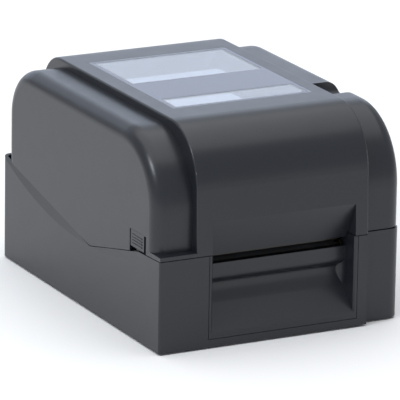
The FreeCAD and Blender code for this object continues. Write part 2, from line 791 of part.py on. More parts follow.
def build_inner_frame():
    """The moulded deck with the roll bay, bearing cheeks and side rims."""
    side = d.wall + 0.5
    inner = bay_front - d.deck_sheet
    deck = block("deck", (left + side, right - side),
                 (panel_back, back - d.wall - 4), (deck_low, d.deck_height))
    tub = block("tub", (-d.bay_half_width - d.deck_sheet, d.bay_half_width + d.deck_sheet),
                (inner, bay_back + d.deck_sheet), (bay_low, d.deck_height))
    bay = block("bay", (-d.bay_half_width, d.bay_half_width), (bay_front, bay_back),
                (d.bay_floor_height, top))
    cheeks = [block(f"cheek_{name}",
                    mirrored(sign, d.cheek_offset, d.cheek_offset + d.cheek_sheet),
                    (platen_y - 6, platen_y + 9), (deck_low, d.platen_height + 7))
              for name, sign in (("left", -1), ("right", 1))]
    bearings = [rod("bearing_bore", "x", (-70, 70), (platen_y, d.platen_height),
                    d.platen_journal + d.bushing_wall)]
    rims = [shared(f"rim_{name}",
                   block(f"rim_block_{name}", inward(sign, side, side + 1.5),
                         (tab_back + 6, cover_back - d.edge_round), (deck_low, top)),
                   side_of_seam(f"rim_limit_{name}", 3, size(-margin)))
            for name, sign in (("left", -1), ("right", 1))]
    posts = [rod(f"frame_post_{index}", "z", (floor_top, deck_low + 1), spot, 3.5)
             for index, spot in enumerate(case_screw_spots)]
    screw_bores = [rod(f"frame_post_bore_{index}", "z", (0, floor_top + 8), spot,
                       d.screw_radius) for index, spot in enumerate(case_screw_spots)]
    gear_slot = block("gear_slot", (d.cheek_offset + d.cheek_sheet + 1, 74),
                      (front + 12, platen_y + 39), (deck_low - 1, top))
    pinion_post = rod("pinion_post", "z", (bay_low, d.bay_floor_height + 5), (0, roll_y),
                      2)
    solid = joined("frame_blank", deck, tub, *posts)
    body = carved("frame_hollow", solid, bay, gear_slot, *screw_bores)
    node("inner_frame", carved("inner_frame",
                               joined("frame_full", body, *cheeks, *rims, pinion_post),
                               *bearings))


# ---------------------------------------------------------------- print drive

def involute(angle):
    return math.tan(angle) - angle


def gear_outline(teeth, module, backlash):
    """Points of an external spur gear with stub involute teeth, first tooth at 0."""
    pressure = math.radians(20)
    pitch = module * teeth / 2
    root, base, tip = pitch - 1.1 * module, pitch * math.cos(pressure), pitch + 0.8 * module
    half = math.pi / (2 * teeth) - backlash / (2 * pitch) + involute(pressure)
    start = max(root, base)
    radii = [start + (tip - start) * step / 5 for step in range(6)]
    points = []
    for tooth in range(teeth):
        middle = 2 * math.pi * tooth / teeth
        flank = [(radius, half - involute(math.acos(min(1, base / radius))))
                 for radius in radii]
        if root < base:
            flank.insert(0, (root, flank[0][1]))
        rising = [(radius, middle - angle) for radius, angle in flank]
        falling = [(radius, middle + angle) for radius, angle in reversed(flank)]
        points += [Vector(radius * math.cos(angle), radius * math.sin(angle), 0)
                   for radius, angle in rising + falling]
    return points


def gear(label, axis, span, across, teeth, module, bore, phase):
    """A toothed wheel with a bore, its first tooth turned to a phase in radians."""
    points = gear_outline(teeth, module.value, 0.12 * module.value)
    length = (size(span[1]) - span[0]).value
    wheel = Part.Face(Part.makePolygon(points + points[:1])).extrude(Vector(0, 0, length))
    hole = Part.makeCylinder(size(bore).value, length)
    solid = add("Part::Feature", label)
    solid.Shape = wheel.cut(hole)
    turn = Rotation(Vector(0, 0, 1), math.degrees(phase))
    solid.Placement = FreeCAD.Placement(Vector(), FRAMES[axis] * turn)
    bind_base(solid, spot_on(axis, span[0], across))
    return node(label, solid)


def meshing_phase(phase, teeth, next_teeth, direction):
    """Phase of the next gear so that its gaps meet the first gear's teeth."""
    return (direction + math.pi + math.pi / next_teeth
            - teeth / next_teeth * (phase - direction))


platen_teeth, idler_teeth, pinion_teeth = 24, 30, 14
idler_direction, pinion_direction = math.radians(-40), math.radians(-30)


def stepped(spot, direction, teeth_sum, module):
    """The centre of the next gear in mesh."""
    reach = module * (teeth_sum / 2)
    return (spot[0] + reach * math.cos(direction), spot[1] + reach * math.sin(direction))


platen_spot = (platen_y, d.platen_height)
idler_spot = stepped(platen_spot, idler_direction, platen_teeth + idler_teeth,
                     d.gear_module)
pinion_spot = stepped(idler_spot, pinion_direction, idler_teeth + pinion_teeth,
                      d.gear_module)
gear_plane = d.cheek_offset + d.cheek_sheet + 2.5
gear_span = (gear_plane, gear_plane + d.gear_face)
plate_span = (gear_plane - 2, gear_plane - 0.8)


def build_print_drive():
    """Platen, its bearings, gear train and stepper motor."""
    node("platen_shaft", joined(
        "platen_shaft",
        rod("platen_core_rod", "x", (-d.print_half_width - 2, d.print_half_width + 2),
            platen_spot, d.platen_core),
        rod("platen_journal_rod", "x",
            (-d.cheek_offset - d.cheek_sheet - 1, gear_span[1] + 1.5), platen_spot,
            d.platen_journal)))
    node("platen_rubber", tube("platen_rubber", "x",
                               (-d.print_half_width, d.print_half_width), platen_spot,
                               d.platen_radius, d.platen_core))
    node("platen_bushings", group("platen_bushings", *[
        tube(f"bushing_{name}", "x",
             mirrored(side, d.cheek_offset - 0.6, d.cheek_offset + d.cheek_sheet),
             platen_spot, d.platen_journal + d.bushing_wall,
             d.platen_journal + d.running_gap)
        for name, side in sides]))
    phase = 0.0
    idler_phase = meshing_phase(phase, platen_teeth, idler_teeth, idler_direction)
    pinion_phase = meshing_phase(idler_phase, idler_teeth, pinion_teeth, pinion_direction)
    gear("platen_gear", "x", gear_span, platen_spot, platen_teeth, d.gear_module,
         d.platen_journal, phase)
    gear("idler_gear", "x", gear_span, idler_spot, idler_teeth, d.gear_module,
         d.axle_radius + d.running_gap, idler_phase)
    gear("motor_pinion", "x", gear_span, pinion_spot, pinion_teeth, d.gear_module,
         d.axle_radius, pinion_phase)
    half = d.motor_size / 2
    node("drive_plate", carved(
        "drive_plate",
        block("drive_plate_sheet", plate_span,
              (idler_spot[0] - 12, pinion_spot[0] + half),
              (floor_top + 4, deck_low)),
        rod("motor_boss_hole", "x", (plate_span[0] - 1, plate_span[1] + 1), pinion_spot,
            6)))
    node("idler_axle", joined(
        "idler_axle",
        rod("idler_axle_rod", "x", (plate_span[1], gear_span[1] + 2), idler_spot,
            d.axle_radius),
        rod("idler_axle_cap", "x", (gear_span[1] + 0.6, gear_span[1] + 2), idler_spot,
            d.axle_radius + 1.5)))
    node("stepper_motor", carved("stepper_motor", block(
        "motor_block", (plate_span[0] - d.motor_length, plate_span[0]),
        (pinion_spot[0] - half, pinion_spot[0] + half),
        (pinion_spot[1] - half, pinion_spot[1] + half)),
        rod("motor_shaft_bore", "x", (plate_span[0] - 20, plate_span[1]), pinion_spot,
            d.axle_radius + d.running_gap)))
    node("motor_shaft", rod("motor_shaft", "x", (plate_span[0] - 18, gear_span[1] + 1),
                            pinion_spot, d.axle_radius))


def build_sensors():
    """Label sensors between the roll bay and the platen."""
    rod_y, rod_z = platen_y + 24, d.deck_height + 5
    brackets = [block(f"sensor_post_{name}", mirrored(side, 55, 58),
                      (rod_y - 3, rod_y + 3), (d.deck_height, rod_z + 3))
                for name, side in sides]
    node("sensor_rail", joined("sensor_rail", rod("sensor_rod", "x", (-57, 57),
                                                  (rod_y, rod_z), 1.5), *brackets))
    node("mark_sensor", carved(
        "mark_sensor", block("mark_sensor_block", (-7, 7), (rod_y - 4.5, rod_y + 4.5),
                             (d.deck_height + 0.4, rod_z + 3)),
        rod("mark_sensor_bore", "x", (-8, 8), (rod_y, rod_z), 1.5 + d.running_gap)))
    node("gap_sensor", block("gap_sensor", (10, 20), (platen_y + 10, platen_y + 17),
                             (d.deck_height, d.deck_height + 5)))


# ---------------------------------------------------------------- roll bay

holder_module = size(1.5)
holder_teeth = 12
rack_pitch = math.pi * 1.5
holder_travel = 45


def rack_solid(name, x_low, x_high, pitch_y, side, z_low, z_high):
    """A toothed rack along X; side is +1 when its teeth point towards -Y."""
    module = holder_module.value
    lean = math.tan(math.radians(20))
    half = rack_pitch / 4 - 0.1 * module
    first = math.ceil((x_low.value + 2) / rack_pitch - 0.5)
    last = math.floor((x_high.value - 2) / rack_pitch - 0.5)
    tip, root, spine = -0.8 * module, 1.1 * module, 1.1 * module + 4
    points = [(x_low.value, spine), (x_low.value, root)]
    for tooth in range(first, last + 1):
        middle = (tooth + 0.5) * rack_pitch
        points += [(middle - half - root * lean, root), (middle - half - tip * lean, tip),
                   (middle + half + tip * lean, tip), (middle + half + root * lean, root)]
    points += [(x_high.value, root), (x_high.value, spine)]
    corners = [Vector(x, pitch_y.value + side * y, z_low.value) for x, y in points]
    rise = Vector(0, 0, (z_high - z_low).value)
    solid = add("Part::Feature", name)
    solid.Shape = Part.Face(Part.makePolygon(corners + corners[:1])).extrude(rise)
    return solid


def build_roll_bay():
    """Roll holders on racks, the pinion between them, a lock and the label guides."""
    radius = holder_module * (holder_teeth / 2)
    z_low, z_high = d.bay_floor_height + 0.3, d.bay_floor_height + 4.3
    gear("holder_pinion", "z", (z_low, z_high), (0, roll_y), holder_teeth, holder_module,
         2 + d.running_gap, math.pi / 2)
    reach = d.bay_half_width - 1.5
    for name, side in sides:
        outer, inner = reach, reach - d.holder_thickness
        arm_x = mirrored(side, inner, outer)
        arm = slab(f"holder_arm_{name}", "x", arm_x, [
            (roll_y - 34, z_low), (roll_y + 34, z_low), (roll_y + 34, z_low + 9, 6),
            (roll_y + d.holder_boss + 4, d.roll_axis_height, 9),
            (roll_y + d.holder_boss + 4, d.roll_axis_height + d.holder_boss + 2, 8),
            (roll_y - d.holder_boss - 4, d.roll_axis_height + d.holder_boss + 2, 8),
            (roll_y - d.holder_boss - 4, d.roll_axis_height, 9),
            (roll_y - 34, z_low + 9, 6)])
        boss = rod(f"holder_boss_{name}", "x", mirrored(side, inner - 7, inner),
                   (roll_y, d.roll_axis_height), d.holder_boss)
        rack_room = ordered(roll_y + side * (radius - holder_module - d.clear_gap),
                            roll_y + side * (radius + holder_module * 1.1 + 4
                                             + d.clear_gap))
        notch = block(f"holder_notch_{name}", mirrored(side, inner - 1, outer + 1),
                      rack_room, (z_low - 1, z_high + d.fit_gap))
        node(f"roll_holder_{name}", carved(f"roll_holder_{name}", joined(
            f"holder_blank_{name}", arm, boss), notch))
        span = ordered(side * inner, -side * size(7))
        node(f"holder_rack_{name}", rack_solid(
            f"holder_rack_{name}", size(span[0]), size(span[1]), roll_y - side * radius,
            -side, z_low, z_high))
        guide_x = mirrored(side, 43, 58)
        guide_y = (platen_y + 40, platen_y + 56)
        foot = block(f"guide_foot_{name}", guide_x, guide_y,
                     (d.deck_height + 0.3, d.deck_height + 2))
        wall = block(f"guide_wall_{name}", mirrored(side, 55.5, 58), guide_y,
                     (d.deck_height + 0.3, d.deck_height + 13))
        node(f"label_guide_{name}", joined(f"label_guide_{name}", foot, wall))
    node("holder_lock", joined(
        "holder_lock", block("lock_slide", (72, 82), (roll_y - 10, roll_y + 4),
                             (d.deck_height + 0.3, d.deck_height + 2.3)),
        block("lock_grip", (74, 80), (roll_y - 6, roll_y), (d.deck_height + 2,
                                                            d.deck_height + 6))))


# ---------------------------------------------------------------- electronics

def build_electronics():
    """Main board, its parts and the sockets at the rear."""
    low, high = d.board_height, board_top
    node("main_board", carved("main_board", block(
        "board_sheet_block", (-86, 60), (front + 110, front + 260), (low, high)),
        *[rod(f"board_hole_{index}", "z", (low - 1, high + 1), spot, 1.6)
          for index, spot in enumerate(board_spots)]))
    chips = [("processor", -20, 150, 18, 18, 2), ("memory", 10, 152, 12, 10, 1.5),
             ("driver", 35, 140, 14, 14, 3), ("regulator", -70, 180, 16, 16, 5),
             ("coil", -72, 140, 12, 12, 6), ("header", 30, 165, 22, 6, 6),
             ("capacitor_bank", -50, 205, 20, 10, 6)]
    node("board_parts", group("board_parts", *[
        block(f"chip_{name}", (x, x + wide), (front + y, front + y + deep),
              (high, high + tall)) for name, x, y, wide, deep, tall in chips]))
    node("board_screws", group("board_screws", *[
        joined(f"board_screw_{index}",
               rod(f"board_screw_shank_{index}", "z", (low, high + 0.5), spot, 1.5),
               rod(f"board_screw_head_{index}", "z", (high, high + 2), spot, 2.6))
        for index, spot in enumerate(board_spots)]))
    sockets = {"power_jack": 12, "usb_port": 14, "usb_host_port": 14,
               "network_port": 18, "serial_port": 12}
    for name, deep in sockets.items():
        across, up = ports[name]
        shell = block(f"{name}_shell", across, (back - deep, back + 0.3), (high, up[1]))
        if name == "power_jack":
            middle = (across[0] + 7, 16)
            barrel = carved("jack_barrel", shell, rod("jack_mouth", "y",
                                                      (back - 10, back + 1), middle, 4.5))
            cut = joined(name, barrel, rod("jack_pin", "y", (back - 11, back - 1), middle,
                                           1.2))
        else:
            cut = carved(name, shell, block(f"{name}_mouth",
                                            (across[0] + 1.2, across[1] - 1.2),
                                            (back - deep + 3, back + 1),
                                            (high + 1.4, up[1] - 1.2)))
        node(name, cut)
    across, up = ports["power_switch"]
    middle = ((across[0] + across[1]) / 2, (up[0] + up[1]) / 2)
    node("switch_housing", carved("switch_housing", block(
        "switch_body", across, (back - 14, back + 0.8), up),
        block("switch_well", (across[0] + 1.5, across[1] - 1.5), (back - 9, back + 1),
              (up[0] + 1.5, up[1] - 1.5))))
    rocker = shared("power_rocker", block(
        "rocker_block", (across[0] + 2.2, across[1] - 2.2), (back - 8, back + 3),
        (up[0] + 2, up[1] - 2)), rod("rocker_barrel", "z", (up[0], up[1]),
                                     (middle[0], back - 6), 8.2))
    node("power_rocker", rocker)


# ---------------------------------------------------------------- cover fittings

def build_window_panel():
    """The glossy top panel and its two clear windows."""
    half = d.window_half_width
    low = top - d.window_sheet
    plate = block("panel_plate", (-half, half), (window_front, window_back), (low, top))
    holes, panes = [], []
    for name, (near, far) in zip(("front_window", "rear_window"), window_spans()):
        holes.append(block(f"{name}_hole", (-half + d.window_rim, half - d.window_rim),
                           (near, far), (low - 1, top + 1)))
        panes.append((name, block(name, (-half + d.window_rim, half - d.window_rim),
                                  (near, far), (low, top - 0.1))))
    node("top_panel", carved("top_panel", plate, *holes))
    for name, pane in panes:
        node(name, pane)


def build_controls():
    """Feed button, status lens and the small board that serves them."""
    spot = (d.button_offset, front + d.button_setback + 5)
    low = tray_floor - d.wall
    node("feed_button", joined(
        "feed_button", rod("button_cap", "z", (low - 1.5, tray_floor + 1.8), spot,
                           d.button_radius),
        rod("button_flange", "z", (low - 2.5, low - 1.3), spot, d.button_radius + 1.5)))
    node("status_lens", rod("status_lens", "z", (low - 4, tray_floor + 0.3),
                            (d.button_offset + 12, spot[1]), 1.6))
    board = block("control_sheet", (74, 97.5), (spot[1] - 14, spot[1] + 14),
                  (low - 9, low - 7.4))
    dome = rod("button_switch", "z", (low - 7.4, low - 4), spot, 3)
    lamp = block("status_lamp", (d.button_offset + 10.5, d.button_offset + 13.5),
                 (spot[1] - 1.5, spot[1] + 1.5), (low - 7.4, low - 4.2))
    node("control_board", joined("control_board", board, dome, lamp))


def build_release_tabs():
    """The two pull tabs that free the cover, with their hooks and keepers."""
    keepers = []
    skin = d.fit_gap + d.tab_sheet
    inside = skin + d.tab_sheet
    hook = inside + 2
    hook_low = d.hook_height - d.hook_rise
    tab_top = d.tab_low_height + d.tab_height
    for name, side in sides:
        plate = block(f"tab_plate_{name}", inward(side, d.fit_gap, skin),
                      (tab_front, tab_back), (d.tab_low_height, tab_top))
        arm = block(f"tab_arm_{name}", inward(side, skin, inside),
                    (tab_front + 5, tab_back - 5), (hook_low, tab_top - 1))
        nose = block(f"tab_nose_{name}", inward(side, inside, hook),
                     (tab_front + 5, tab_front + 10), (hook_low, d.hook_height))
        node(f"release_tab_{name}", joined(f"release_tab_{name}", plate, arm, nose))
        keepers.append(block(f"keeper_{name}", inward(side, hook + 0.6, hook + 3.6),
                             (tab_front + 3, tab_back - 3),
                             (d.deck_height, d.hook_height + d.hook_rise)))
    node("latch_keepers", group("latch_keepers", *keepers))


def build_print_head():
    """Thermal print head on its sprung carrier, hung from the ribbon frame."""
    half = d.print_half_width + 2
    line = d.platen_height + d.platen_radius + 0.5
    pivot = (platen_y + 22, d.platen_height + 28.5)
    node("print_head_line", block("print_head_line", (-half, half),
                                  (platen_y - 5, platen_y + 9), (line, line + 1.5)))
    fins = [block(f"fin_{index}", (-half, half),
                  (platen_y - 6 + index * 4, platen_y - 4 + index * 4),
                  (line + 5, line + 12)) for index in range(5)]
    node("print_head_heatsink", joined("print_head_heatsink", block(
        "heatsink_base", (-half, half), (platen_y - 6, platen_y + 12),
        (line + 1.5, line + 5)), *fins))
    arms = [slab(f"head_arm_{name}", "x", mirrored(side, half - 5, half - 2), [
        (platen_y + 12, line + 1.5), (platen_y + 12, line + 12),
        (pivot[0] - 4, pivot[1] + 4), (pivot[0] + 4, pivot[1] + 4),
        (pivot[0] + 4, pivot[1] - 4)]) for name, side in sides]
    tie = block("head_tie", (-half + 2, half - 2), (platen_y + 12, platen_y + 14),
                (line + 2, line + 8))
    node("head_carrier", carved("head_carrier", joined("head_carrier_blank", tie, *arms),
                                rod("head_pivot_bore", "x", (-half, half), pivot,
                                    1.5 + d.running_gap)))
    node("head_pivot_rod", rod("head_pivot_rod", "x",
                               (-d.ribbon_plate_offset, d.ribbon_plate_offset), pivot,
                               1.5))
    return pivot


def build_ribbon_drive():
    """Side plates, cross bridge, ribbon spindles and their gears."""
    plate = d.ribbon_plate_offset
    rewind, supply = (rewind_y, d.rewind_height), (supply_y, d.supply_height)
    roof = top - d.wall
    low = d.ribbon_plate_low_height
    for name, side in sides:
        blank = slab(f"ribbon_blank_{name}", "x",
                     mirrored(side, plate, plate + d.ribbon_sheet), [
                         (platen_y + 2, low), (platen_y + 2, low + 24),
                         (rewind_y - 14, d.rewind_height - 10),
                         (rewind_y - 14, d.rewind_height + 18, 6),
                         (rewind_y + 6, d.rewind_height + 24, 4), (rewind_y + 6, roof),
                         (supply_y + 18, roof), (supply_y + 18, low, 8)])
        bores = [rod(f"spindle_bore_{name}_{index}", "x", (-plate - 3, plate + 3), spot,
                     d.ribbon_journal + d.running_gap)
                 for index, spot in enumerate((rewind, supply))]
        node(f"ribbon_plate_{name}", carved(f"ribbon_plate_{name}", blank, *bores))
    node("ribbon_bridge", block("ribbon_bridge", (-plate, plate),
                                (platen_y + 4, platen_y + 20),
                                (d.ribbon_bridge_height, d.ribbon_bridge_height + 3)))
    for name, spot in (("rewind", rewind), ("supply", supply)):
        core = rod(f"{name}_core", "x", (-plate + 2, plate - 2), spot, d.spindle_radius)
        ribs = [block(f"{name}_rib_{index}", (-plate + 8, plate - 8),
                      (spot[0] - 1, spot[0] + 1), ordered(
                          spot[1] + turn * (d.spindle_radius - 1),
                          spot[1] + turn * (d.spindle_radius + 5)))
                for index, turn in enumerate((-1, 1))]
        axle = rod(f"{name}_axle", "x", (-plate - 3, plate + 9.5), spot,
                   d.ribbon_journal)
        node(f"ribbon_{name}_spindle", joined(f"ribbon_{name}_spindle", core, axle, *ribs))
    span = (plate + 3, plate + 3 + d.gear_face)
    direction = math.radians(-100)
    rewind_teeth, ribbon_idler_teeth = 30, 20
    idler = stepped(rewind, direction, rewind_teeth + ribbon_idler_teeth, d.gear_module)
    gear("rewind_gear", "x", span, rewind, rewind_teeth, d.gear_module,
         d.ribbon_journal, 0.0)
    gear("ribbon_idler_gear", "x", span, idler, ribbon_idler_teeth, d.gear_module,
         d.axle_radius + d.running_gap,
         meshing_phase(0.0, rewind_teeth, ribbon_idler_teeth, direction))
    node("ribbon_idler_axle", rod("ribbon_idler_axle", "x",
                                  (plate + d.ribbon_sheet, span[1] + 1), idler,
                                  d.axle_radius))


builders = [build_base_housing, build_front_panel, build_inner_frame, build_print_drive,
            build_sensors, build_roll_bay, build_electronics, build_cover_shell,
            build_window_panel, build_controls, build_release_tabs, build_print_head,
            build_ribbon_drive]
for builder in builders:
    builder()
doc.recompute()

failed = [obj.Name for obj in doc.Objects
          if "Invalid" in obj.State or "Error" in obj.State]
failed += [obj.Label for obj in nodes
           if obj.Shape.isNull() or not obj.Shape.isValid() or not obj.Shape.Solids]
if failed:
    raise RuntimeError(f"these objects failed: {failed}")
os.makedirs("parts", exist_ok=True)
for obj in nodes:
    obj.Shape.exportStep(f"parts/{obj.Label}.step")
    print(obj.Label, len(obj.Shape.Solids), "solids", round(obj.Shape.Volume), "mm3")
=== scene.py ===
"""Looks for the desktop label printer: materials, trim pieces, studio and camera."""
import json
import math

import bmesh
import bpy
from mathutils import Matrix, Vector


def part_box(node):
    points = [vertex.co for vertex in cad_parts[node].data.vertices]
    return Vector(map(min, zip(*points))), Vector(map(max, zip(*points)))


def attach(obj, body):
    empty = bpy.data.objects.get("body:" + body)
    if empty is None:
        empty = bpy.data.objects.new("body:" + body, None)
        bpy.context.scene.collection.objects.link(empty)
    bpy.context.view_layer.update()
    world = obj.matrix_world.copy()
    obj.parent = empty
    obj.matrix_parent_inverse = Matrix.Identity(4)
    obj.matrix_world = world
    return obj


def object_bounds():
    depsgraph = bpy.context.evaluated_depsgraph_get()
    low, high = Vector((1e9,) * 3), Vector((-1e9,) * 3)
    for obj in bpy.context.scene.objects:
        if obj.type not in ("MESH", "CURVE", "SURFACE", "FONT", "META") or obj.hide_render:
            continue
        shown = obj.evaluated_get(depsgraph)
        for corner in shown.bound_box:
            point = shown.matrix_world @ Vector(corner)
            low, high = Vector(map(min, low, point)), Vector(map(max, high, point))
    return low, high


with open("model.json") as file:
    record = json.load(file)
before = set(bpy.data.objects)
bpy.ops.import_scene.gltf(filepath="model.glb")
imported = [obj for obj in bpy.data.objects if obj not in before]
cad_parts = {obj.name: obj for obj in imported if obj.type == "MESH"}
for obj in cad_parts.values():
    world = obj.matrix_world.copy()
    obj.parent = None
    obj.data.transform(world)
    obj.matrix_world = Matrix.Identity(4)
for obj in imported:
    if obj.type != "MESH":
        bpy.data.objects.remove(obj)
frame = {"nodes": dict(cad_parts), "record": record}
cad_low, cad_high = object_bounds()
nodes = frame["nodes"]
MM = 0.001


# ---------------------------------------------------------------- node helpers

class Shader:
    """A small builder for one procedural material."""

    def __init__(self, name):
        self.material = bpy.data.materials.new(name)
        self.material.use_nodes = True
        self.tree = self.material.node_tree
        self.surface = next(n for n in self.tree.nodes if n.type == "BSDF_PRINCIPLED")
        self.output = next(n for n in self.tree.nodes if n.type == "OUTPUT_MATERIAL")
        self.place = self.add("ShaderNodeTexCoord").outputs["Object"]

    def add(self, kind, **settings):
        made = self.tree.nodes.new(kind)
        for key, value in settings.items():
            setattr(made, key, value)
        return made

    def link(self, source, target):
        self.tree.links.new(source, target)
        return target

    def set(self, **values):
        """Constant values straight on the surface's sockets."""
        for key, value in values.items():
            self.surface.inputs[key.replace("_", " ")].default_value = value
        return self

    def stretched(self, scale):
        """Object coordinates scaled on each axis."""
        mapping = self.add("ShaderNodeMapping")
        self.link(self.place, mapping.inputs["Vector"])
        mapping.inputs["Scale"].default_value = scale
        return mapping.outputs["Vector"]

    def noise(self, scale, detail=3.0, roughness=0.5, place=None):
        made = self.add("ShaderNodeTexNoise")
        made.inputs["Scale"].default_value = scale
        made.inputs["Detail"].default_value = detail
        made.inputs["Roughness"].default_value = roughness
        self.link(place or self.place, made.inputs["Vector"])
        return made.outputs["Fac"]

    def cells(self, scale, place=None):
        made = self.add("ShaderNodeTexVoronoi")
        made.inputs["Scale"].default_value = scale
        self.link(place or self.place, made.inputs["Vector"])
        return made.outputs["Distance"]

    def ramp(self, factor, low, high, first=0.3, second=0.7):
        """A smooth mix of two colours over a factor."""
        made = self.add("ShaderNodeValToRGB")
        made.color_ramp.elements[0].position = first
        made.color_ramp.elements[1].position = second
        made.color_ramp.elements[0].color = (*low, 1)
        made.color_ramp.elements[1].color = (*high, 1)
        self.link(factor, made.inputs["Fac"])
        return made.outputs["Color"]

    def span(self, factor, low, high):
        """A factor of 0 to 1 spread between two values."""
        made = self.add("ShaderNodeMapRange")
        made.inputs["To Min"].default_value = low
        made.inputs["To Max"].default_value = high
        self.link(factor, made.inputs["Value"])
        return made.outputs["Result"]

    def mix(self, factor, first, second):
        made = self.add("ShaderNodeMix", data_type="RGBA")
        self.link(factor, made.inputs["Factor"])
        self.link(first, made.inputs["A"])
        self.link(second, made.inputs["B"])
        return made.outputs["Result"]

    def bump(self, height, strength, distance):
        made = self.add("ShaderNodeBump")
        made.inputs["Strength"].default_value = strength
        made.inputs["Distance"].default_value = distance
        self.link(height, made.inputs["Height"])
        previous = self.surface.inputs["Normal"]
        if previous.is_linked:
            self.link(previous.links[0].from_socket, made.inputs["Normal"])
        self.link(made.outputs["Normal"], previous)


# ---------------------------------------------------------------- materials

def textured_plastic(name, dark, light, rough=(0.27, 0.35), grain=1500, depth=0.035):
    """Spark-eroded moulded plastic: fine grain, faint flow variation."""
    made = Shader(name)
    drift = made.noise(9, detail=2)
    speck = made.noise(grain * 0.6, detail=2)
    base = made.ramp(drift, dark, light, 0.3, 0.7)
    fine = made.ramp(speck, tuple(c * 0.86 for c in dark), tuple(c * 1.1 for c in light),
                     0.35, 0.65)
    made.link(made.mix(made.span(speck, 0.15, 0.45), base, fine),
              made.surface.inputs["Base Color"])
    made.link(made.span(made.noise(60, detail=4), *rough),
              made.surface.inputs["Roughness"])
    made.bump(made.noise(grain, detail=3, roughness=0.6), depth, 0.2 * MM)
    return made.material


def gloss_plastic(name, dark, light, rough=(0.06, 0.12)):
    """Polished plastic sheet with faint haze and hairline scuffs."""
    made = Shader(name)
    made.link(made.ramp(made.noise(7), dark, light), made.surface.inputs["Base Color"])
    scuffs = made.noise(40, detail=6, place=made.stretched((1, 14, 1)))
    made.link(made.span(scuffs, *rough), made.surface.inputs["Roughness"])
    made.bump(made.noise(350), 0.02, 0.05 * MM)
    return made.material


def clear_sheet(name, tint):
    """Lightly smoked clear plastic, seen through."""
    made = Shader(name)
    made.link(made.ramp(made.noise(10), tuple(c * 0.95 for c in tint), tint),
              made.surface.inputs["Base Color"])
    made.link(made.span(made.noise(50, detail=5), 0.03, 0.07),
              made.surface.inputs["Roughness"])
    made.set(Transmission_Weight=0.85, IOR=1.45)
    made.bump(made.noise(120), 0.015, 0.05 * MM)
    return made.material


def metal(name, dark, light, rough=(0.25, 0.4), stretch=(1, 1, 1), scale=500):
    """Bare metal with brushing or turning marks along an axis."""
    made = Shader(name)
    lines = made.noise(scale, detail=4, place=made.stretched(stretch))
    made.link(made.ramp(lines, dark, light), made.surface.inputs["Base Color"])
    made.link(made.span(lines, *rough), made.surface.inputs["Roughness"])
    made.set(Metallic=1.0)
    made.bump(lines, 0.08, 0.05 * MM)
    return made.material


def rubber(name, dark, light):
    """Ground rubber: matt, slightly dusty."""
    made = Shader(name)
    made.link(made.ramp(made.noise(90, detail=5), dark, light),
              made.surface.inputs["Base Color"])
    made.link(made.span(made.noise(300), 0.7, 0.9), made.surface.inputs["Roughness"])
    made.bump(made.noise(2200, detail=2), 0.15, 0.1 * MM)
    return made.material


def circuit_board(name):
    """Solder mask with faint tracks under it."""
    made = Shader(name)
    tracks = made.cells(160, place=made.stretched((1, 1, 0.02)))
    made.link(made.ramp(tracks, (0.012, 0.10, 0.045), (0.02, 0.16, 0.07), 0.15, 0.2),
              made.surface.inputs["Base Color"])
    made.link(made.span(made.noise(80), 0.25, 0.4), made.surface.inputs["Roughness"])
    made.bump(tracks, 0.1, 0.05 * MM)
    return made.material


def ceramic(name):
    """Glazed strip coloured dark brown as painted shade for the paper slot, with a fine
    heater line's colour drift.
    """
    made = Shader(name)
    made.link(made.ramp(made.noise(30), (0.035, 0.028, 0.022), (0.055, 0.045, 0.036)),
              made.surface.inputs["Base Color"])
    made.link(made.span(made.noise(90), 0.12, 0.2), made.surface.inputs["Roughness"])
    made.bump(made.noise(400), 0.03, 0.05 * MM)
    return made.material


